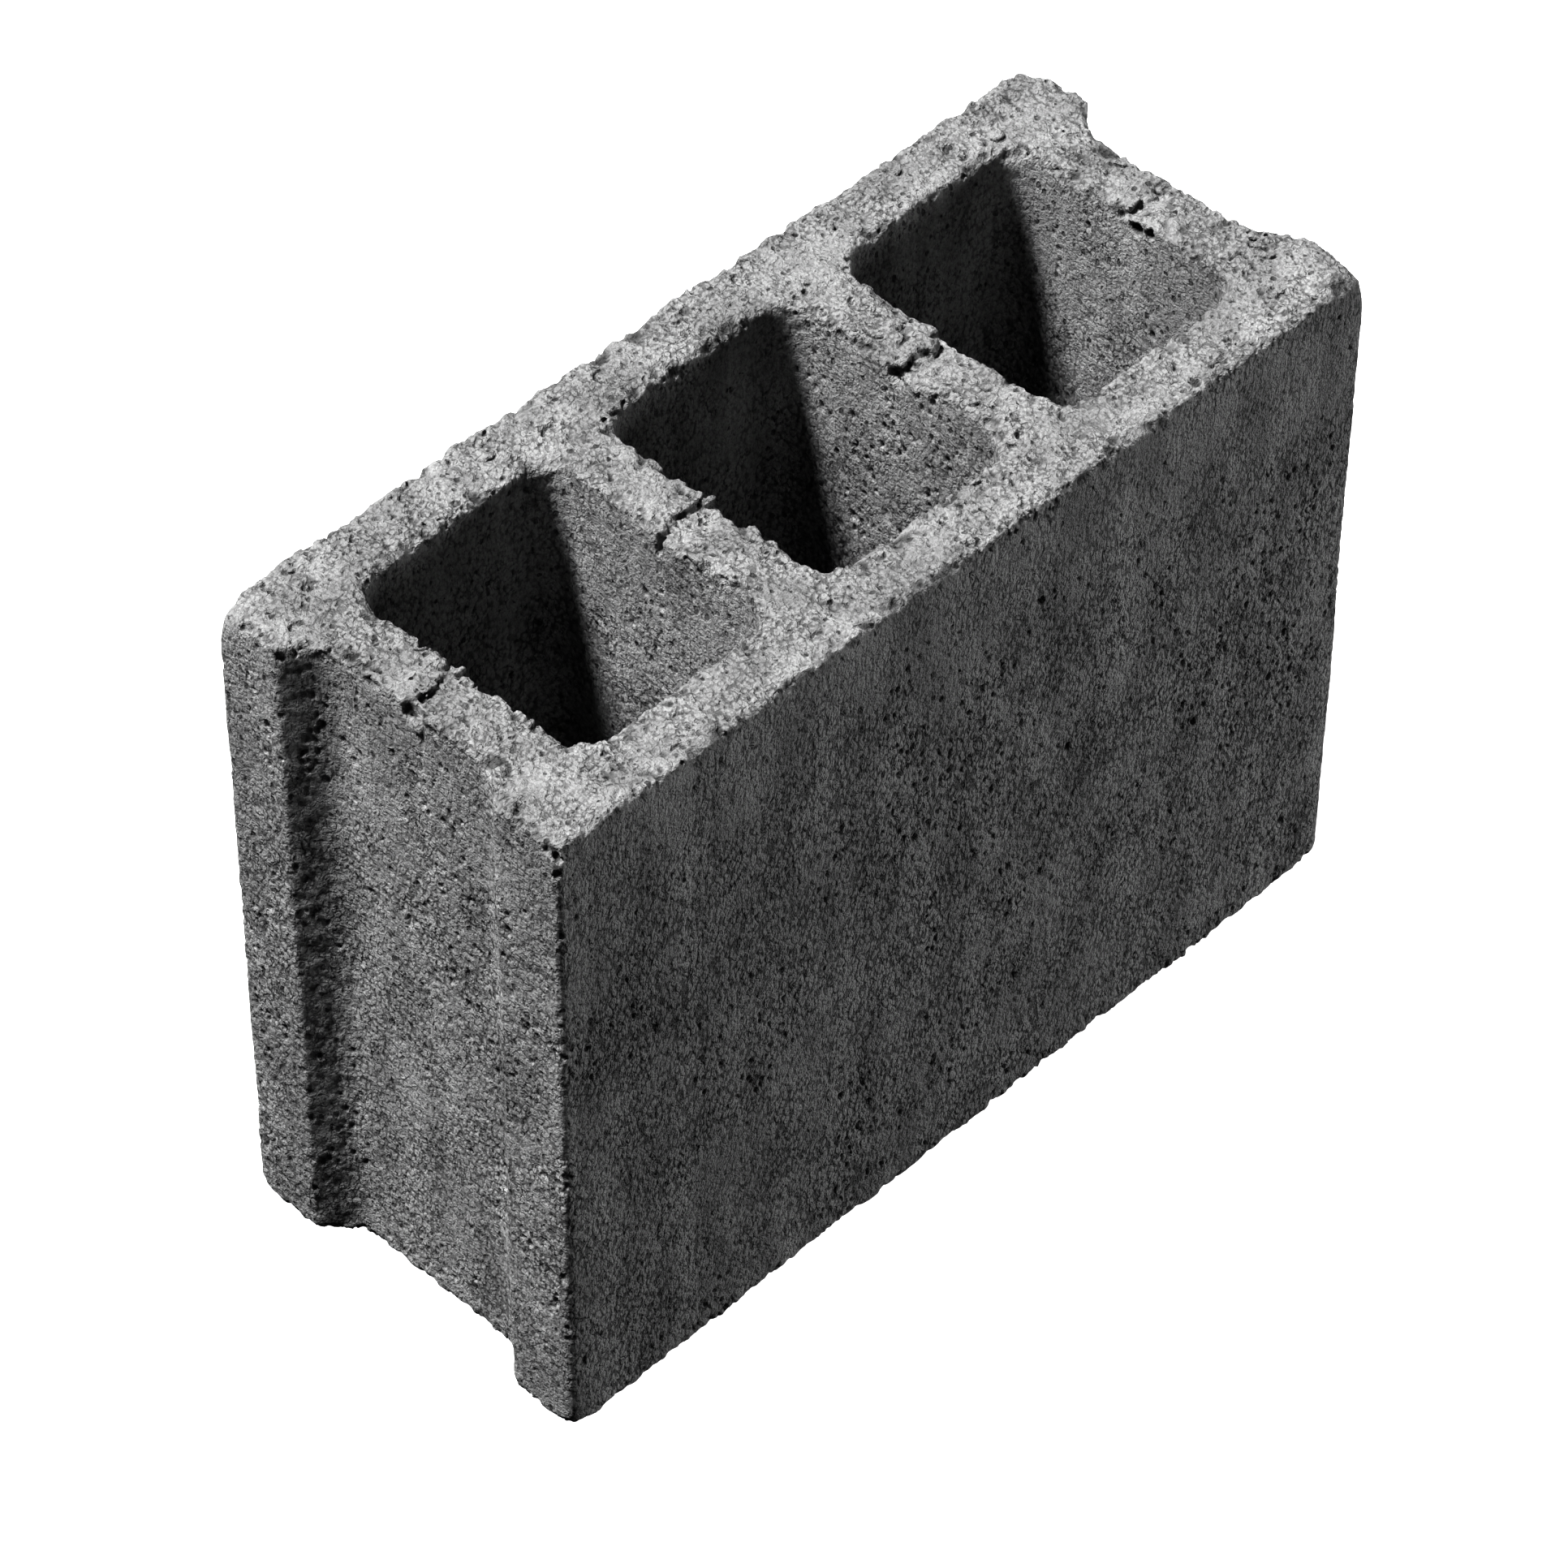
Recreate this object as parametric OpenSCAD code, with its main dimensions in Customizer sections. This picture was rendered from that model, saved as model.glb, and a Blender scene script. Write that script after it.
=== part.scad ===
// Hollow concrete block with a row of cores through its height and a mortar recess in each end.
// X runs along the block, Y across it and Z up. The origin is the middle of the bottom face.

/* [Block] */
// Overall length, along X
block_length = 390; // [380:1:420]
// Overall width, along Y
block_width = 160; // [150:1:200]
// Overall height, along Z
block_height = 290; // [188:1:300]
// Radius of the upright edges
edge_radius = 3; // [1:0.5:6]

/* [Cores] */
// Number of cores in the row
core_count = 3; // [1:1:4]
// Thickness of each long face shell, at the top
shell_thickness = 26; // [20:1:35]
// Thickness of each web between two cores, at the top
web_thickness = 24; // [18:1:32]
// Thickness of each end wall, from its recess to the end core, at the top
end_wall_thickness = 24; // [18:1:32]
// Radius of a core's upright corners, at the top
core_corner_radius = 14; // [6:1:20]
// How far each core wall leans inwards from the top of the block to the bottom
core_draft = 2; // [0:0.5:4]

/* [End recesses] */
// Depth of the mortar recess in each end
recess_depth = 12; // [6:1:16]
// Width of the flat flange on each side of a recess
flange_width = 29; // [22:1:36]
// Width, across the block, of each sloping side of a recess
recess_slope_width = 12; // [6:1:16]
// Radius of the hollow curve from a sloping side into the recess floor
recess_fillet_radius = 8; // [2:1:10]

/* [Core-bar groove] */
// Width of the groove that the mould's core bar leaves across the top of each web and end wall
groove_width = 7; // [4:1:12]
// Depth of that groove
groove_depth = 4; // [2:1:8]

/* [Hidden] */

concrete_colour = [0.45, 0.45, 0.45];
// How far a cutting shape reaches past the face that it cuts
cut_past = 5;
// Steps in a full circle for the cores' corners and the recess fillets
circle_steps = 48;

core_width = block_width - 2 * shell_thickness;
core_length = (block_length - 2 * (recess_depth + end_wall_thickness)
    - (core_count - 1) * web_thickness) / core_count;
core_pitch = core_length + web_thickness;

// Slope of a recess side, and the stretch of side and floor that its fillet takes
recess_slope_angle = atan2(recess_depth, recess_slope_width);
fillet_reach = recess_fillet_radius * tan(recess_slope_angle / 2);
recess_floor_half = block_width / 2 - flange_width - recess_slope_width;

// Rectangle with rounded corners, centred on the origin
module rounded_rectangle(length, width, radius) {
    square([length - 2 * radius, width], center = true);
    square([length, width - 2 * radius], center = true);
    for (x = [-1, 1], y = [-1, 1])
        translate([x * (length / 2 - radius), y * (width / 2 - radius)])
            circle(r = radius, $fn = circle_steps);
}

// Points of one fillet, from the recess floor to the sloping side, for the side at +Y.
// The floor lies at x = recess_depth and the mouth at x = 0.
function fillet_points() = [
    for (turn = [0 : circle_steps / 4])
        let (angle = recess_slope_angle * turn / (circle_steps / 4))
        [
            recess_depth - recess_fillet_radius * (1 - cos(angle)),
            recess_floor_half - fillet_reach + recess_fillet_radius * sin(angle)
        ]
];

// Outline of one recess, its mouth at x = 0 and its floor towards +X
module recess_outline() {
    side = fillet_points();
    mouth_half = block_width / 2 - flange_width;
    last = len(side) - 1;
    polygon(concat(
        side,
        [[0, mouth_half], [-cut_past, mouth_half], [-cut_past, -mouth_half], [0, -mouth_half]],
        [for (i = [last : -1 : 0]) [side[i].x, -side[i].y]]
    ));
}

// The recess in the end at -X
module end_recess() {
    translate([-block_length / 2, 0, -cut_past])
        linear_extrude(height = block_height + 2 * cut_past)
            recess_outline();
}

// One core, narrowing downwards by the draft, with both ends past the block's faces
module core() {
    lean = core_draft / block_height;
    bottom_inset = core_draft + lean * cut_past;
    top_inset = -lean * cut_past;
    bottom_length = core_length - 2 * bottom_inset;
    bottom_width = core_width - 2 * bottom_inset;
    growth = [
        (core_length - 2 * top_inset) / bottom_length,
        (core_width - 2 * top_inset) / bottom_width
    ];
    translate([0, 0, -cut_past])
        linear_extrude(height = block_height + 2 * cut_past, scale = growth, slices = 1)
            rounded_rectangle(bottom_length, bottom_width, core_corner_radius);
}

// The groove along the centreline, which leaves a mark on every web and end wall
module core_bar_groove() {
    translate([0, 0, block_height - groove_depth / 2 + cut_past / 2])
        cube([block_length + 2 * cut_past, groove_width, groove_depth + cut_past], center = true);
}

module block_body() {
    color(concrete_colour)
    difference() {
        linear_extrude(height = block_height)
            rounded_rectangle(block_length, block_width, edge_radius);
        for (i = [0 : core_count - 1])
            translate([(i - (core_count - 1) / 2) * core_pitch, 0, 0])
                core();
        end_recess();
        mirror([1, 0, 0]) end_recess();
        core_bar_groove();
    }
}

block_body();
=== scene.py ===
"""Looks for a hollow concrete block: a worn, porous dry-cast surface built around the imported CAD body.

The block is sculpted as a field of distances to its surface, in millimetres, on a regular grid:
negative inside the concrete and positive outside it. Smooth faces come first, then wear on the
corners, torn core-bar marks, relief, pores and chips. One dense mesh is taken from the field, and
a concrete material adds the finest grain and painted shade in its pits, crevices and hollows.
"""

import math

import bpy
import numpy as np
import openvdb
from mathutils import Matrix, Vector


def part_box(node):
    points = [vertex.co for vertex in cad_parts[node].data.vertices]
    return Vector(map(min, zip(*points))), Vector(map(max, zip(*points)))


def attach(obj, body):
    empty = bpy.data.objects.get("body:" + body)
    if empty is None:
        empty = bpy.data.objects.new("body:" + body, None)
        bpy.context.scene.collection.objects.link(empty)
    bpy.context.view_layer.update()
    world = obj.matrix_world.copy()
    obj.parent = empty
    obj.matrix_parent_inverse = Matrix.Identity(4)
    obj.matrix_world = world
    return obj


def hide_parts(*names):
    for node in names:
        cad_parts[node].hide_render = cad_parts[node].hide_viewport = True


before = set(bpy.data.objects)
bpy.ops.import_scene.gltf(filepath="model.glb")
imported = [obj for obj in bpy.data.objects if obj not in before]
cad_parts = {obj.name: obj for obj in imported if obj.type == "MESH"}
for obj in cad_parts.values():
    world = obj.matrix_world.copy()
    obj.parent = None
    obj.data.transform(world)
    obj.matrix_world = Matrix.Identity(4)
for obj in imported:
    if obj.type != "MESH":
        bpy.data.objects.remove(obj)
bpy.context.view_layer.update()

# ---------------------------------------------------------------- sizes, in millimetres

METRE = 1000.0
SEED = 7

NODE = "block_body"
low_corner, high_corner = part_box(NODE)
LENGTH = (high_corner.x - low_corner.x) * METRE
WIDTH = (high_corner.y - low_corner.y) * METRE
HEIGHT = (high_corner.z - low_corner.z) * METRE

# Plan of the block, as the CAD body has it
EDGE_RADIUS = 3.0
CORE_COUNT = 3
SHELL = 26.0
WEB = 24.0
END_WALL = 24.0
CORE_CORNER_RADIUS = 14.0
CORE_DRAFT = 2.0
RECESS_DEPTH = 12.0
FLANGE = 29.0
RECESS_SLOPE = 12.0

# Rounding where a recess's sloping side meets its floor, and where it meets the flange
RECESS_FLOOR_ROUNDING = 5.0
FLANGE_ROUNDING = 0.8

# Rounding of the arrises round the beds, and how much it varies
ARRIS_ROUNDING = 3.2
ARRIS_ROUNDING_RANGE = (1.6, 8.0)
ARRIS_VARIATION = 0.9
# Distance from an arris within which it crumbles
ARRIS_REACH = 7.0

CORE_WIDTH = WIDTH - 2 * SHELL
CORE_LENGTH = (LENGTH - 2 * (RECESS_DEPTH + END_WALL) - (CORE_COUNT - 1) * WEB) / CORE_COUNT
CORE_PITCH = CORE_LENGTH + WEB
WEB_MIDDLES = [(i - (CORE_COUNT - 2) / 2) * CORE_PITCH for i in range(CORE_COUNT - 1)]
RECESS_MOUTH_HALF = WIDTH / 2 - FLANGE
RECESS_FLOOR_HALF = RECESS_MOUTH_HALF - RECESS_SLOPE
END_WALL_MIDDLE = LENGTH / 2 - RECESS_DEPTH - END_WALL / 2

# Grid on which the block is sculpted
STEP = 0.8
MARGIN = 4 * STEP

draws = np.random.default_rng(SEED)

# Spread that a cubic spline leaves, along one axis, of random values with a spread of 1
SPLINE_SPREAD = math.sqrt(0.479)


def grid_line(low, high):
    """Places of the grid's points along one axis."""
    count = int(math.ceil((high - low + 2 * MARGIN) / STEP))
    return (low - MARGIN + STEP * np.arange(count)).astype(np.float32)


xs = grid_line(-LENGTH / 2, LENGTH / 2)
ys = grid_line(-WIDTH / 2, WIDTH / 2)
zs = grid_line(0.0, HEIGHT)
X = xs[:, None, None]
Y = ys[None, :, None]
Z = zs[None, None, :]

# ---------------------------------------------------------------- noise and blends


def rise(value, start, end):
    """0 up to start, 1 from end on, and a smooth ramp between."""
    t = np.clip((value - start) / (end - start), 0.0, 1.0)
    return t * t * (3.0 - 2.0 * t)


def smooth_max(a, b, reach):
    """Larger of two distances, rounded off where they are within reach of each other."""
    overlap = np.maximum(reach - np.abs(a - b), 0.0)
    return np.maximum(a, b) + overlap * overlap / (4.0 * reach)


def spline_parts(places, spacing):
    """Each place's cell on a lattice, and the weights of the four lattice points round it."""
    along = (places - places[0]) / spacing
    cell = np.floor(along).astype(int)
    t = (along - cell).astype(np.float32)
    weights = (
        (1 - t) ** 3 / 6,
        (3 * t**3 - 6 * t**2 + 4) / 6,
        (-3 * t**3 + 3 * t**2 + 3 * t + 1) / 6,
        t**3 / 6,
    )
    return cell, weights


def noise(spacing):
    """Smooth random field of unit spread on the grid, with features as large as spacing along each axis."""
    lines = [spline_parts(line, size) for line, size in zip((xs, ys, zs), spacing)]
    field = draws.standard_normal([cell[-1] + 4 for cell, _ in lines]).astype(np.float32)
    field *= np.float32(SPLINE_SPREAD**-3)
    for axis, (cell, weights) in enumerate(lines):
        shape = [1, 1, 1]
        shape[axis] = -1
        field = sum(np.take(field, cell + i, axis) * w.reshape(shape) for i, w in enumerate(weights))
    return field


# ---------------------------------------------------------------- smooth block


def rectangle_distance(x, y, half_length, half_width, radius):
    """Signed distance in plan from a rectangle with rounded corners."""
    over_x = np.abs(x) - (half_length - radius)
    over_y = np.abs(y) - (half_width - radius)
    outside = np.hypot(np.maximum(over_x, 0.0), np.maximum(over_y, 0.0))
    return outside + np.minimum(np.maximum(over_x, over_y), 0.0) - radius


def plan_outline():
    """Distance in plan from the outer outline, with its end recesses."""
    x, y = X[:, :, 0], Y[:, :, 0]
    body = rectangle_distance(x, y, LENGTH / 2, WIDTH / 2, EDGE_RADIUS)
    slope = math.cos(math.atan2(RECESS_DEPTH, RECESS_SLOPE))
    to_side = np.abs(y) - RECESS_FLOOR_HALF
    floor_line = np.abs(x) - (LENGTH / 2 - RECESS_DEPTH)
    side_line = (floor_line - to_side * RECESS_DEPTH / RECESS_SLOPE) * slope
    recess = -smooth_max(-floor_line, -side_line, RECESS_FLOOR_ROUNDING)
    return smooth_max(body, recess, FLANGE_ROUNDING)


def plan_cores():
    """Distance in plan from the nearest core, at the top of the block: negative inside it."""
    x, y = X[:, :, 0], Y[:, :, 0]
    cores = [
        rectangle_distance(
            x - (i - (CORE_COUNT - 1) / 2) * CORE_PITCH, y,
            CORE_LENGTH / 2, CORE_WIDTH / 2, CORE_CORNER_RADIUS,
        )
        for i in range(CORE_COUNT)
    ]
    return np.minimum.reduce(cores)


# 1 at the bottom of the block and 0 from its middle up
low_share = rise(-Z, -HEIGHT / 2, 0.0)


def smooth_block():
    """Distance from the block with plain faces and softened arrises, and how near each point is to one."""
    inset = CORE_DRAFT * (1.0 - Z / HEIGHT)
    walls = np.maximum(plan_outline()[:, :, None], -(plan_cores()[:, :, None] + inset))
    beds = np.abs(Z - HEIGHT / 2) - HEIGHT / 2
    ragged = noise((9.0, 9.0, 9.0)) + 0.7 * noise((3.4, 3.4, 3.4))
    rounding = ARRIS_ROUNDING + low_share + (ARRIS_VARIATION - 0.6 * low_share) * ragged
    near_arris = np.clip(1.0 - np.abs(walls - beds) / ARRIS_REACH, 0.0, 1.0)
    return smooth_max(walls, beds, np.clip(rounding, *ARRIS_ROUNDING_RANGE)), near_arris


distance, near_arris = smooth_block()

# ---------------------------------------------------------------- local sculpting


def region(low, high):
    """Slices of the grid that hold the box from low to high, cut to the grid."""
    slices = []
    for line, a, b in zip((xs, ys, zs), low, high):
        start = int(np.clip((a - line[0]) / STEP, 0, len(line)))
        stop = int(np.clip((b - line[0]) / STEP + 2, 0, len(line)))
        slices.append(slice(start, stop))
    return tuple(slices)


def region_axes(part):
    """The grid's coordinates within a region, ready to broadcast."""
    return X[part[0]], Y[:, part[1]], Z[:, :, part[2]]


def wear_corner(corner, direction, depth, reach):
    """Grinds a corner down to a rounded flat, depth below the corner along direction."""
    corner = Vector(corner)
    normal = Vector(direction).normalized()
    size = 4.0 * depth + reach
    part = region([c - size for c in corner], [c + size for c in corner])
    x, y, z = region_axes(part)
    along = (x - corner.x) * normal.x + (y - corner.y) * normal.y + (z - corner.z) * normal.z
    distance[part] = smooth_max(distance[part], along + depth, reach)


def wear_corners():
    """The four top corners, each worn as it is on the real block, and the bottom ones a little."""
    x, y, z = LENGTH / 2, WIDTH / 2, HEIGHT
    wear_corner((-x, y, z), direction=(-1.0, 0.8, 1.0), depth=4.0, reach=9.0)
    wear_corner((x, -y, z), direction=(1.0, -0.9, 0.9), depth=3.6, reach=8.0)
    wear_corner((x, y, z), direction=(1.0, 0.8, 0.9), depth=3.0, reach=7.0)
    wear_corner((-x, -y, z), direction=(-1.0, -0.8, 1.1), depth=2.2, reach=5.0)
    for sx in (-1, 1):
        for sy in (-1, 1):
            wear_corner((sx * x, sy * y, 0.0), direction=(sx, sy, -1.2), depth=2.5, reach=5.0)


wear_corners()

# Grain of broken concrete, shared by the torn marks, the arrises and the skin
rubble = noise((2.4, 2.4, 2.4))


def carve(part, hollow):
    """Takes away from a region wherever hollow, a distance into the cut, is positive."""
    distance[part] = np.maximum(distance[part], hollow)


BAR_MARK_Y = 1.0
SLOT_HALF_WIDTH = 1.5


def tear_bar_mark(middle, half, drop, reach, slot_depth, face_depth):
    """Mark that the core bar leaves across one web or end wall, whose middle and half thickness are along X.

    A jagged slot runs across the wall, and the concrete on its front side is torn lower over reach.
    On the wall's left face the slot runs down by face_depth.
    """
    deepest = max(slot_depth, face_depth) + 6.0
    part = region((middle - half - 5, -reach - 8, HEIGHT - deepest), (middle + half + 5, 9, HEIGHT + 4))
    x, y, z = region_axes(part)
    rough = rubble[part]
    slot_middle = BAR_MARK_Y + 0.9 * rough
    ramp = rise(y, BAR_MARK_Y - reach, BAR_MARK_Y - 3.0)
    torn_top = HEIGHT - drop * ramp + 1.1 * rough * ramp
    front_side = y - slot_middle
    carve(part, np.where(front_side < 0.0, z - torn_top, np.minimum(z - torn_top, 1.0 - front_side)))
    slot = SLOT_HALF_WIDTH + 0.7 * rough - np.abs(y - slot_middle)
    across = np.minimum(slot, z - (HEIGHT - slot_depth - 0.8 * rough))
    carve(part, across)
    down = np.minimum(slot, z - (HEIGHT - face_depth - 1.5 * rough))
    carve(part, np.minimum(down, (middle - half + 3.0) - x))
    open_top = (y < BAR_MARK_Y) * rise(z, HEIGHT - 9.0, HEIGHT - 4.0)
    distance[part] += 0.5 * rough * ramp * open_top


def tear_bar_marks():
    """The core bar's marks on both webs and both end walls."""
    for middle in WEB_MIDDLES:
        tear_bar_mark(middle, WEB / 2, drop=3.2, reach=26.0, slot_depth=1.8, face_depth=11.0)
    tear_bar_mark(-END_WALL_MIDDLE, END_WALL / 2, drop=1.8, reach=14.0, slot_depth=1.2, face_depth=6.0)
    tear_bar_mark(END_WALL_MIDDLE, END_WALL / 2, drop=2.0, reach=9.0, slot_depth=1.6, face_depth=4.5)


def crack_end_face(y_middle, length):
    """Thin upright crack in the left end's recess floor, from its top arris down by length."""
    face = -LENGTH / 2 + RECESS_DEPTH
    part = region((face - 4, y_middle - 5, HEIGHT - length - 6), (face + 6, y_middle + 5, HEIGHT))
    x, y, z = region_axes(part)
    rough = rubble[part]
    width = 0.9 * rise(z, HEIGHT - length, HEIGHT - 0.4 * length) + 0.25 * rough
    gap = width - np.abs(y - y_middle - 0.7 * rough)
    carve(part, np.minimum(gap, face + 2.2 - x))


tear_bar_marks()
crack_end_face(y_middle=-5.0, length=27.0)

# ---------------------------------------------------------------- aggregate, pores and relief

smooth_distance = distance.copy()
# 1 on the two beds and 0 on the walls
bed = rise(np.abs(Z - HEIGHT / 2), HEIGHT / 2 - 4.0, HEIGHT / 2 - 1.0)
# 1 high on the walls, where the mould dragged them smooth, and 0 lower down and on the beds
drag = rise(Z + 9.0 * noise((14.0, 14.0, 60.0)), HEIGHT - 95.0, HEIGHT - 20.0) * (1.0 - bed)


def surface_places(weight, count):
    """Random places on the surface, more of them where weight is larger."""
    near = np.flatnonzero(np.abs(smooth_distance) < 0.5 * STEP)
    share = np.broadcast_to(weight, distance.shape).ravel()[near].astype(np.float64)
    picked = draws.choice(near, size=count, p=share / share.sum())
    i, j, k = np.unravel_index(picked, distance.shape)
    places = np.stack([xs[i], ys[j], zs[k]], axis=1)
    return places + draws.uniform(-STEP / 2, STEP / 2, places.shape)


def stamp_box(place, reach):
    """Slices of the grid that lie within reach of a place."""
    slices = []
    for line, middle, r in zip((xs, ys, zs), place, reach):
        start = int((middle - r - line[0]) / STEP) + 1
        stop = int((middle + r - line[0]) / STEP) + 1
        slices.append(slice(max(start, 0), stop))
    return tuple(slices)


def press_pores(places, radii, tall):
    """Hollows a small pit at each place, taller than it is wide by the factor tall."""
    for place, radius in zip(places, radii):
        part = stamp_box(place, (radius, radius, radius * tall))
        dx = xs[part[0]] - place[0]
        dy = ys[part[1]] - place[1]
        dz = (zs[part[2]] - place[2]) / tall
        squares = (dx * dx)[:, None, None] + (dy * dy)[None, :, None] + (dz * dz)[None, None, :]
        cell = distance[part]
        np.maximum(cell, radius - np.sqrt(squares), out=cell)


def press_crescents(places, radii, widths, deep):
    """Opens a curved crack, down to deep, round one side of an aggregate grain at each place on a bed."""
    for place, radius, width in zip(places, radii, widths):
        turn = draws.uniform(0.0, 2.0 * math.pi)
        reach = radius + width
        part = stamp_box(place, (reach, reach, reach))
        dx = (xs[part[0]] - place[0])[:, None, None]
        dy = (ys[part[1]] - place[1])[None, :, None]
        dz = (zs[part[2]] - place[2])[None, None, :]
        apart = np.sqrt(dx * dx + dy * dy + dz * dz) + 0.01
        side = (dx * math.cos(turn) + dy * math.sin(turn)) / apart
        opening = width * np.clip(2.5 * side - 0.8, 0.0, 1.0) - np.abs(apart - radius)
        carve(part, np.minimum(opening, smooth_distance[part] + deep))


def hollows(spacing, above):
    """Noise with everything under a level cut away, which leaves separate hollows in a flat skin."""
    return np.maximum(noise(spacing) - above, 0.0)


def add_relief():
    """Waviness of the mould faces, the coarse grain of the skin, and crumbling along the arrises."""
    global distance
    # Each line's numbers are millimetres, and positive ones cut inwards
    wall = (1.0 - bed) * (1.0 - 0.25 * drag)
    distance = distance + 0.20 * noise((30.0, 30.0, 30.0))
    distance += (0.06 * bed + 0.04) * noise((4.5, 4.5, 4.5))
    distance += (0.25 * bed + 0.09 * wall) * np.clip(rubble, -1.8, 2.0)
    distance += (0.32 * bed + 0.14 * wall + 0.04) * hollows((1.25, 1.25, 1.9), 0.75)
    distance += (0.75 - 0.4 * low_share) * near_arris * np.maximum(rubble - 0.3, 0.0)
    distance += (0.45 - 0.3 * low_share) * near_arris * hollows((4.0, 4.0, 4.0), 0.5)


def pit(weight, count, smallest, largest, tall=1.0):
    """Presses count pits into the surface, more of them where weight is larger."""
    places = surface_places(weight, count)
    press_pores(places, draws.uniform(smallest, largest, count), tall)


CRESCENTS = 150
CRESCENT_DEPTH = 1.5


def add_pores():
    """Pits of the open concrete face: small and scattered, with a few larger ones."""
    clusters = np.clip(0.55 + 0.6 * noise((13.0, 13.0, 18.0)), 0.05, None)
    wall = (1.0 - bed) * (1.0 - 0.55 * drag) * clusters
    pit(wall, 22000, 0.55, 0.95, tall=1.9)
    pit(wall, 450, 0.95, 1.5, tall=1.7)
    pit(bed * clusters, 3400, 0.55, 0.95)
    pit(bed * clusters, 90, 1.0, 1.5)
    pit(near_arris**2, 2500, 0.6, 1.3)
    places = surface_places(bed, CRESCENTS)
    radii = draws.uniform(2.0, 4.5, CRESCENTS)
    press_crescents(places, radii, draws.uniform(0.4, 0.65, CRESCENTS), CRESCENT_DEPTH)


def add_blows():
    """Single chips and deep pits that the block has picked up, each a few overlapping pits."""
    end_floor = -LENGTH / 2 + RECESS_DEPTH
    far_core_side = LENGTH / 2 - RECESS_DEPTH - END_WALL
    blows = (
        ((-LENGTH / 2 + 0.8, -WIDTH / 2 + 0.8, HEIGHT - 5.0), 2.2, 12),
        ((-LENGTH / 2 + 0.5, -WIDTH / 2 + 4.0, HEIGHT - 3.5), 1.7, 8),
        ((-LENGTH / 2 + 0.5, -WIDTH / 2 + 0.5, HEIGHT - 12.0), 1.4, 5),
        ((end_floor + 1.0, 2.0, HEIGHT - 4.5), 2.2, 6),
        ((far_core_side + 1.0, -4.0, HEIGHT - 5.0), 2.4, 7),
        ((far_core_side + 1.0, -11.0, HEIGHT - 4.0), 1.8, 5),
    )
    for place, radius, count in blows:
        places = np.array(place) + draws.normal(0.0, 0.55 * radius, (count, 3))
        press_pores(places, radius * draws.uniform(0.5, 1.0, count), 1.2)


add_relief()
add_pores()
add_blows()

# ---------------------------------------------------------------- mesh


def biggest_piece(points, quads):
    """Drops every scrap of surface that isn't joined to the largest one."""
    label = np.arange(len(points))
    while True:
        lowest = label[quads].min(axis=1)
        before = label.copy()
        for corner in range(4):
            np.minimum.at(label, quads[:, corner], lowest)
        label = label[label]
        if np.array_equal(before, label):
            break
    names, counts = np.unique(label, return_counts=True)
    keep = label == names[counts.argmax()]
    new_index = np.cumsum(keep) - 1
    return points[keep], new_index[quads[keep[quads[:, 0]]]]


def surface_mesh():
    """Points, in millimetres, and quads of the surface where the distance is zero."""
    band = np.float32(3 * STEP)
    grid = openvdb.FloatGrid(float(band))
    grid.copyFromArray(np.clip(distance, -band, band))
    points, quads = grid.convertToQuads(isovalue=0.0)
    origin = np.array([xs[0], ys[0], zs[0]])
    points, quads = biggest_piece(points, quads.astype(np.int64))
    return points * STEP + origin, quads[:, ::-1]


points, quads = surface_mesh()
points[:, 2] = np.maximum(points[:, 2], 0.0)


def between(field):
    """A grid field's values at the mesh's points, blended between the eight grid points round each."""
    at = [(p - line[0]) / STEP for p, line in zip(points.T, (xs, ys, zs))]
    low = [np.clip(a.astype(int), 0, size - 2) for a, size in zip(at, field.shape)]
    part = [a - b for a, b in zip(at, low)]
    total = np.zeros(len(points))
    for corner in np.ndindex(2, 2, 2):
        weight = math.prod(np.where(c, p, 1.0 - p) for c, p in zip(corner, part))
        total += weight * field[tuple(b + c for b, c in zip(low, corner))]
    return total


def make_piece(name):
    """The concrete block as one mesh with smooth shading."""
    mesh = bpy.data.meshes.new(name)
    mesh.vertices.add(len(points))
    mesh.loops.add(quads.size)
    mesh.polygons.add(len(quads))
    mesh.vertices.foreach_set("co", (points / METRE).astype(np.float32).ravel())
    mesh.loops.foreach_set("vertex_index", quads.astype(np.int32).ravel())
    mesh.polygons.foreach_set("loop_start", np.arange(0, quads.size, 4, dtype=np.int32))
    mesh.update(calc_edges=True)
    mesh.polygons.foreach_set("use_smooth", np.ones(len(quads), bool))
    mesh.validate()
    piece = bpy.data.objects.new(name, mesh)
    bpy.context.scene.collection.objects.link(piece)
    return piece


def paint(piece, name, values):
    """Stores a value at each of the mesh's points, for the material to read."""
    layer = piece.data.attributes.new(name, "FLOAT", "POINT")
    layer.data.foreach_set("value", np.clip(values, 0.0, 1.0).astype(np.float32))


# Depth below the plain surface at which the painted shade in a hollow is full
HOLLOW_SHADE_FULL = 1.6

block = make_piece("block_concrete")
paint(block, "bed", between(np.broadcast_to(bed, distance.shape)))
paint(block, "drag", between(drag))
# Depth of each point below the plain surface, which the material turns into painted shade in the pores and
# hollows
paint(block, "hollow", -between(smooth_distance) / HOLLOW_SHADE_FULL)

# ---------------------------------------------------------------- material


def add_node(tree, kind, inputs, **settings):
    """Adds a node with its settings, and sets or links its inputs."""
    node = tree.nodes.new(kind)
    for name, value in settings.items():
        setattr(node, name, value)
    for name, value in inputs.items():
        if isinstance(value, bpy.types.NodeSocket):
            tree.links.new(value, node.inputs[name])
        else:
            node.inputs[name].default_value = value
    return node


def calc(tree, operation, *values):
    """Result of one Math node."""
    inputs = dict(enumerate(values))
    return add_node(tree, "ShaderNodeMath", inputs, operation=operation).outputs[0]


def ramp(tree, value, start, end, low=0.0, high=1.0):
    """low up to start, high from end on, and a smooth ramp between."""
    inputs = {"Value": value, "From Min": start, "From Max": end, "To Min": low, "To Max": high}
    node = add_node(tree, "ShaderNodeMapRange", inputs, interpolation_type="SMOOTHSTEP")
    return node.outputs["Result"]


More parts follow.
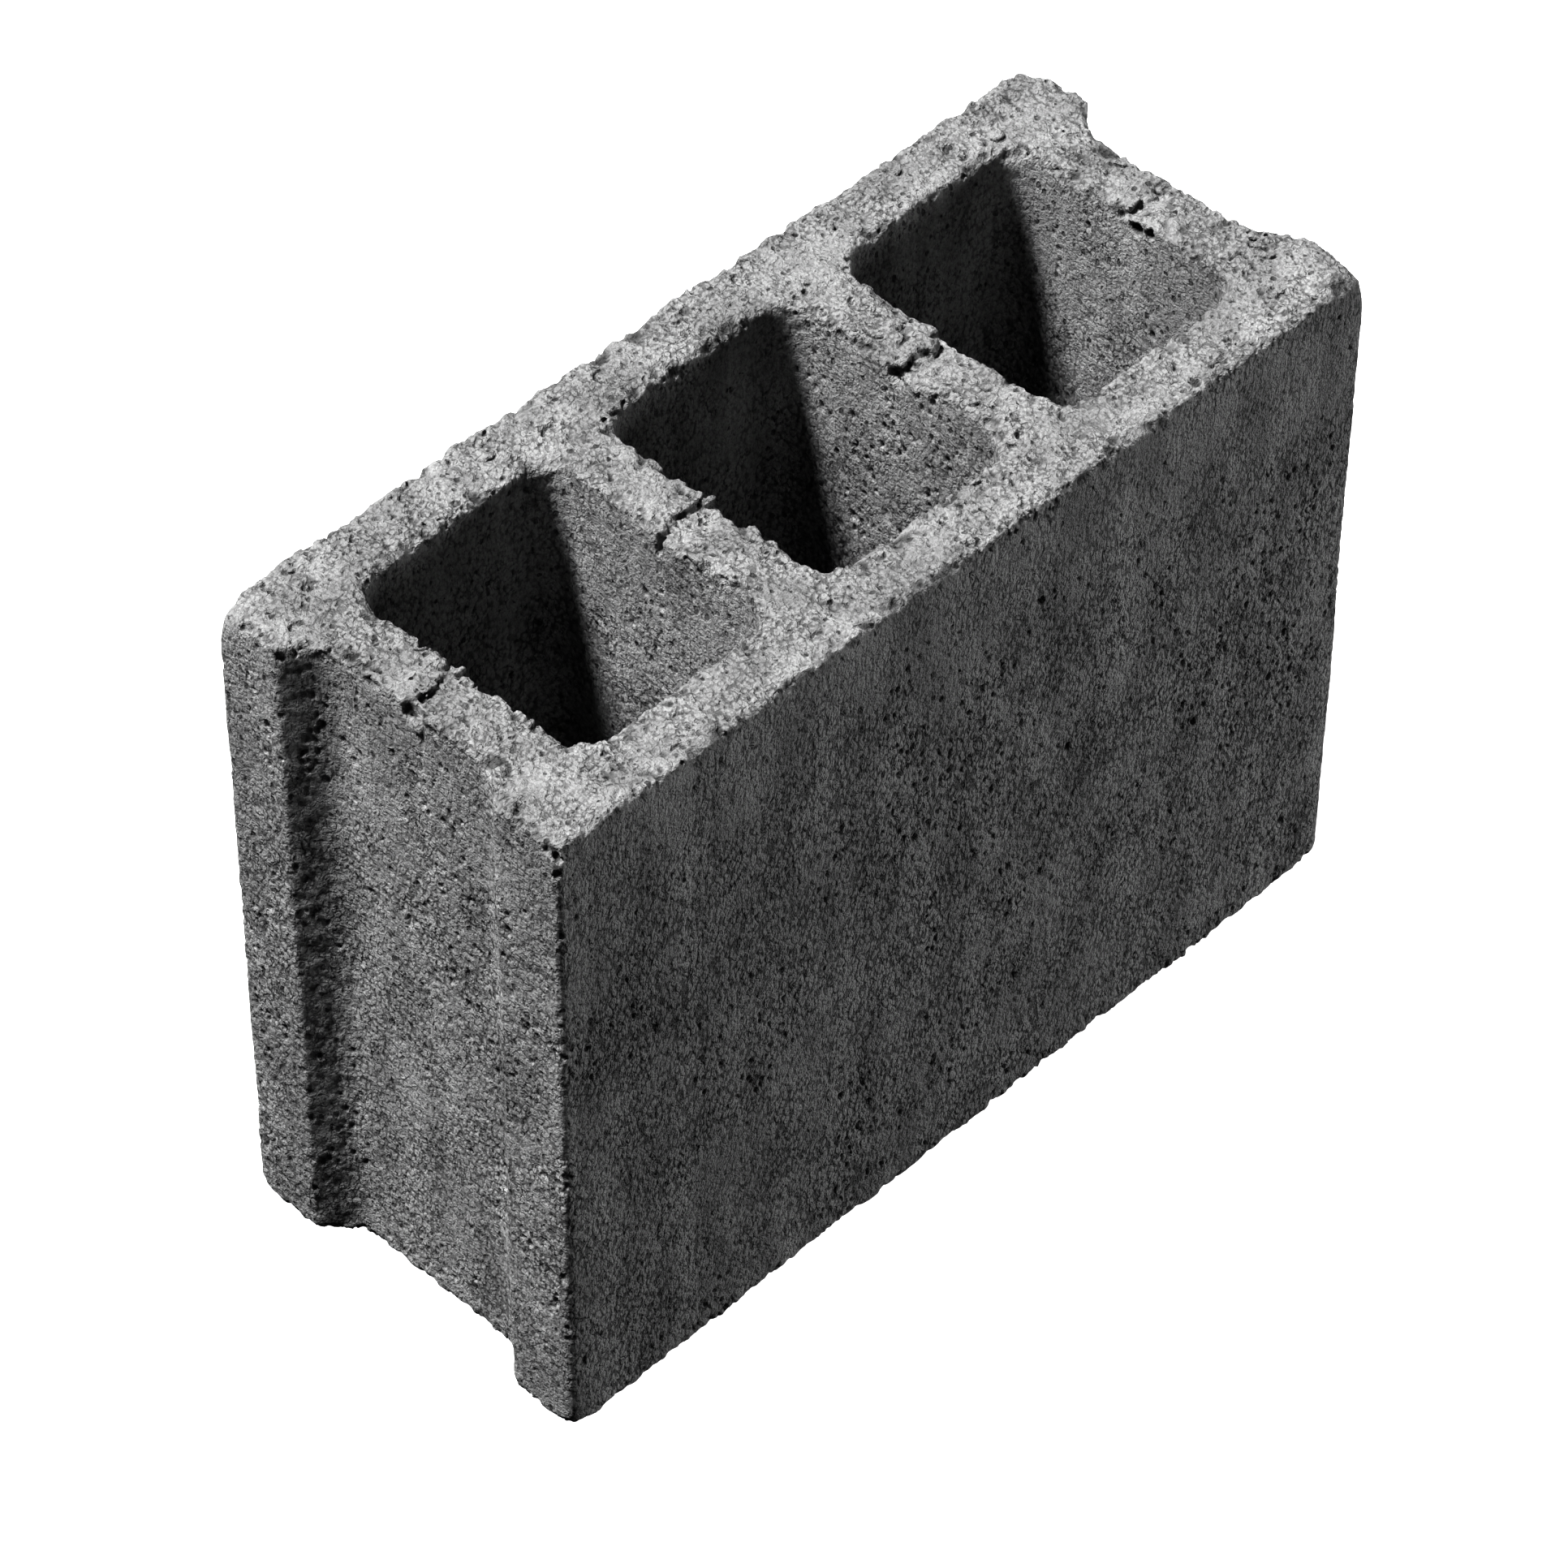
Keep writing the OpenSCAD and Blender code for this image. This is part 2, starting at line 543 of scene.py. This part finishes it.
def clouds(tree, place, per_mm, detail=2.0, rough=0.5):
    """Noise from 0 to 1, with per_mm features to a millimetre."""
    inputs = {"Vector": place, "Scale": per_mm, "Detail": detail, "Roughness": rough}
    return add_node(tree, "ShaderNodeTexNoise", inputs, noise_dimensions="3D").outputs["Fac"]


def cells(tree, place, per_mm, feature):
    """Distance within a field of cells, per_mm of them to a millimetre."""
    inputs = {"Vector": place, "Scale": per_mm}
    return add_node(tree, "ShaderNodeTexVoronoi", inputs, feature=feature).outputs["Distance"]


def millimetres(tree, stretch_z=1.0):
    """Object coordinates in millimetres, with upright features stretched by stretch_z."""
    place = add_node(tree, "ShaderNodeTexCoord", {}).outputs["Object"]
    scale = (METRE, METRE, METRE / stretch_z)
    return add_node(tree, "ShaderNodeMapping", {"Vector": place, "Scale": scale}).outputs["Vector"]


def painted(tree, name):
    """A value that the mesh carries at each point."""
    return add_node(tree, "ShaderNodeAttribute", {}, attribute_name=name).outputs["Fac"]


def warp(tree, place, per_mm, amount):
    """Places pushed about by noise, by up to amount millimetres."""
    inputs = {"Vector": place, "Scale": per_mm, "Detail": 1.0}
    push = add_node(tree, "ShaderNodeTexNoise", inputs, noise_dimensions="3D").outputs["Color"]
    inputs = {0: push, 1: (0.5, 0.5, 0.5)}
    push = add_node(tree, "ShaderNodeVectorMath", inputs, operation="SUBTRACT").outputs[0]
    inputs = {0: push, 1: (2.0 * amount,) * 3, 2: place}
    return add_node(tree, "ShaderNodeVectorMath", inputs, operation="MULTIPLY_ADD").outputs[0]


def scattered_pits(tree, place, per_mm, rarity, largest):
    """Round pits, 1 at the middle and 0 outside, in the share of the cells that rarity leaves."""
    inputs = {"Vector": place, "Scale": per_mm}
    node = add_node(tree, "ShaderNodeTexVoronoi", inputs, feature="F1")
    radius = ramp(tree, node.outputs["Color"], rarity, 1.0, 0.0, largest)
    return ramp(tree, calc(tree, "SUBTRACT", radius, node.outputs["Distance"]), 0.0, 0.2)


def hairlines(tree, place, per_mm, width, break_per_mm, rarity):
    """Wandering lines, 1 in their middle, left only where a second noise is above rarity."""
    level = calc(tree, "SUBTRACT", clouds(tree, place, per_mm, 2.0), 0.5)
    line = ramp(tree, calc(tree, "ABSOLUTE", level), width, 0.0)
    kept = ramp(tree, clouds(tree, place, break_per_mm, 1.0), rarity, rarity + 0.1)
    return calc(tree, "MULTIPLY", line, kept)


def concrete_grain(tree):
    """The shares and noises that the relief and the tone are both made from, by name."""
    place = millimetres(tree)
    drawn = warp(tree, millimetres(tree, 1.5), per_mm=0.5, amount=0.8)
    grain = {name: painted(tree, name) for name in ("bed", "drag", "hollow")}
    grain["sand"] = clouds(tree, place, 0.95, detail=3.0, rough=0.65)
    grain["streaks"] = clouds(tree, millimetres(tree, 14.0), 0.5, rough=0.6)
    grain["patches"] = clouds(tree, millimetres(tree, 3.0), 0.06, detail=3.0)
    grain["washes"] = clouds(tree, millimetres(tree, 18.0), 0.06)
    grain["pits"] = scattered_pits(tree, drawn, 0.42, rarity=0.5, largest=0.6)

    # The skin is plainer where it was dragged and on the beds, and rougher in patches
    skin = ramp(tree, grain["drag"], 0.0, 1.0, 1.0, 0.75)
    skin = calc(tree, "MULTIPLY", skin, ramp(tree, grain["bed"], 0.0, 1.0, 1.0, 0.85))
    rough_patches = clouds(tree, place, 0.045)
    skin = calc(tree, "MULTIPLY", skin, ramp(tree, rough_patches, 0.35, 0.62, 0.68, 1.12))
    skin_features = {
        "gaps": ramp(tree, cells(tree, drawn, 0.55, "F1"), 0.3, 0.8),
        "dashes": hairlines(tree, drawn, 0.26, width=0.045, break_per_mm=0.2, rarity=0.46),
        "cracks": hairlines(tree, place, 0.1, width=0.01, break_per_mm=0.1, rarity=0.52),
    }
    for name, feature in skin_features.items():
        grain[name] = calc(tree, "MULTIPLY", feature, skin)
    return grain


def concrete_normal(tree, grain):
    """Surface direction with the finest relief: sand and drag lines stand up, and the rest is cut in."""
    height = calc(tree, "MULTIPLY", grain["sand"], 1.3)
    for name, deep in (("gaps", 0.55), ("pits", 0.6), ("dashes", 0.4), ("cracks", 0.5)):
        height = calc(tree, "SUBTRACT", height, calc(tree, "MULTIPLY", grain[name], deep))
    lines = calc(tree, "MULTIPLY", grain["streaks"], grain["drag"])
    height = calc(tree, "ADD", height, calc(tree, "MULTIPLY", lines, 0.8))
    inputs = {"Height": height, "Distance": 1.0 / METRE, "Strength": 1.0}
    return add_node(tree, "ShaderNodeBump", inputs).outputs["Normal"]


def concrete_tone(tree, grain):
    """Grey level of the surface, with painted shade in its crevices, pits, hairlines and hollows. Each shade
    takes it from one factor to another as its grain rises.
    """
    tone = ramp(tree, grain["patches"], 0.3, 0.7, 0.24, 0.35)
    shades = (
        ("sand", 0.32, 0.68, 0.8, 1.18),
        ("bed", 0.0, 1.0, 1.08, 0.98),
        ("streaks", 0.5, 0.8, 1.0, 1.14),
        ("washes", 0.5, 0.75, 1.0, 1.14),
        # The next five darken the crevices between lumps, the pits, the dashes, the hairline cracks and the
        # hollows: painted shade where shadow falls in them
        ("gaps", 0.2, 1.0, 1.0, 0.5),
        ("pits", 0.0, 1.0, 1.0, 0.4),
        ("dashes", 0.0, 1.0, 1.0, 0.55),
        ("cracks", 0.0, 1.0, 1.0, 0.5),
        ("hollow", 0.2, 1.0, 1.0, 0.3),
    )
    for name, start, end, low, high in shades:
        tone = calc(tree, "MULTIPLY", tone, ramp(tree, grain[name], start, end, low, high))
    inputs = {"Red": tone, "Green": tone, "Blue": tone}
    return add_node(tree, "ShaderNodeCombineColor", inputs).outputs["Color"]


def concrete_material():
    """Grey dry-cast concrete: sandy grain in a lumpy skin, small pits, hairlines, and drag streaks, with
    painted shade darkening its pits, crevices and hairlines.
    """
    material = bpy.data.materials.new("concrete")
    material.use_nodes = True
    tree = material.node_tree
    shader = tree.nodes["Principled BSDF"]
    grain = concrete_grain(tree)
    tree.links.new(concrete_normal(tree, grain), shader.inputs["Normal"])
    tree.links.new(concrete_tone(tree, grain), shader.inputs["Base Color"])
    tree.links.new(ramp(tree, grain["sand"], 0.2, 0.8, 0.98, 0.84), shader.inputs["Roughness"])
    shader.inputs["Specular IOR Level"].default_value = 0.3
    return material


block.data.materials.append(concrete_material())
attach(block, "root")
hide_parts(NODE)

# ---------------------------------------------------------------- stage


FLOOR_RADIUS = 6.0
DOME_RADIUS = 9.0


def stage_material(name, colour, glow):
    """Matt white that also gives off a little of its own light, so that shadows on it stay pale."""
    material = bpy.data.materials.new(name)
    material.use_nodes = True
    shader = material.node_tree.nodes["Principled BSDF"]
    shader.inputs["Base Color"].default_value = (colour, colour, colour, 1.0)
    shader.inputs["Roughness"].default_value = 1.0
    shader.inputs["Specular IOR Level"].default_value = 0.0
    shader.inputs["Emission Color"].default_value = (1.0, 1.0, 1.0, 1.0)
    shader.inputs["Emission Strength"].default_value = glow
    return material


def add_stage():
    """A round floor and a dome behind it. The camera sees them, but they add no light to the block."""
    bpy.ops.mesh.primitive_circle_add(vertices=96, radius=FLOOR_RADIUS, fill_type="NGON")
    floor = bpy.context.object
    floor.name = "floor"
    floor.data.materials.append(stage_material("floor_white", colour=0.8, glow=0.86))
    bpy.ops.mesh.primitive_uv_sphere_add(segments=64, ring_count=32, radius=DOME_RADIUS)
    dome = bpy.context.object
    dome.name = "dome"
    dome.data.materials.append(stage_material("dome_white", colour=0.0, glow=1.0))
    for piece in (floor, dome):
        piece.visible_diffuse = False
        piece.visible_glossy = False
    dome.visible_shadow = False


add_stage()

# ---------------------------------------------------------------- light

LIGHT_DISTANCE = 3.0
KEY_DIRECTION = Vector((-0.355, 0.29, 0.88)).normalized()
KEY_STRENGTH = 5.9
KEY_ANGLE = math.radians(12.0)
FILL_DIRECTION = Vector((0.72, -0.69, 0.05)).normalized()
FILL_SIZE = 1.2
FILL_POWER = 58.0
# Strength of the world's light from above and from below
SKY = 0.058
GROUND = 0.012


def aimed_light(name, data, place):
    """A light at a place, turned towards the middle of the block."""
    light = bpy.data.objects.new(name, data)
    light.location = place
    light.rotation_euler = place.to_track_quat("Z", "Y").to_euler()
    bpy.context.scene.collection.objects.link(light)


def add_world():
    """Faint light from all round, less of it from below."""
    world = bpy.data.worlds.new("studio")
    world.use_nodes = True
    tree = world.node_tree
    ray = add_node(tree, "ShaderNodeTexCoord", {}).outputs["Generated"]
    up = add_node(tree, "ShaderNodeSeparateXYZ", {"Vector": ray}).outputs["Z"]
    strength = ramp(tree, up, -0.2, 0.3, GROUND, SKY)
    tree.links.new(strength, tree.nodes["Background"].inputs["Strength"])
    tree.nodes["Background"].inputs["Color"].default_value = (1.0, 1.0, 1.0, 1.0)
    bpy.context.scene.world = world


def add_lights():
    """A high key light from the back left, and a low, broad, weaker fill from the front right."""
    key = bpy.data.lights.new("key", "SUN")
    key.energy = KEY_STRENGTH
    key.angle = KEY_ANGLE
    aimed_light("key", key, KEY_DIRECTION * LIGHT_DISTANCE)
    fill = bpy.data.lights.new("fill", "AREA")
    fill.shape = "DISK"
    fill.size = FILL_SIZE
    fill.energy = FILL_POWER
    aimed_light("fill", fill, FILL_DIRECTION * LIGHT_DISTANCE)


add_world()
add_lights()

# ---------------------------------------------------------------- camera

CAMERA_PLACE = Vector((-1.1899, -1.1431, 1.8022))
CAMERA_AIM = Vector((-0.0132, -0.0032, 0.1335))
CAMERA_ROLL = math.radians(0.37)
CAMERA_LENS = 153.1
SENSOR_WIDTH = 36.0


def add_camera():
    """A long lens that looks down on the left end and the front face."""
    data = bpy.data.cameras.new("camera")
    data.lens = CAMERA_LENS
    data.sensor_width = SENSOR_WIDTH
    camera = bpy.data.objects.new("camera", data)
    turn = (CAMERA_PLACE - CAMERA_AIM).to_track_quat("Z", "Y").to_matrix().to_4x4()
    roll = Matrix.Rotation(CAMERA_ROLL, 4, "Z")
    camera.matrix_world = Matrix.Translation(CAMERA_PLACE) @ turn @ roll
    bpy.context.scene.collection.objects.link(camera)
    bpy.context.scene.camera = camera


add_camera()
bpy.context.scene.view_settings.view_transform = "Standard"
bpy.context.scene.view_settings.look = "High Contrast"
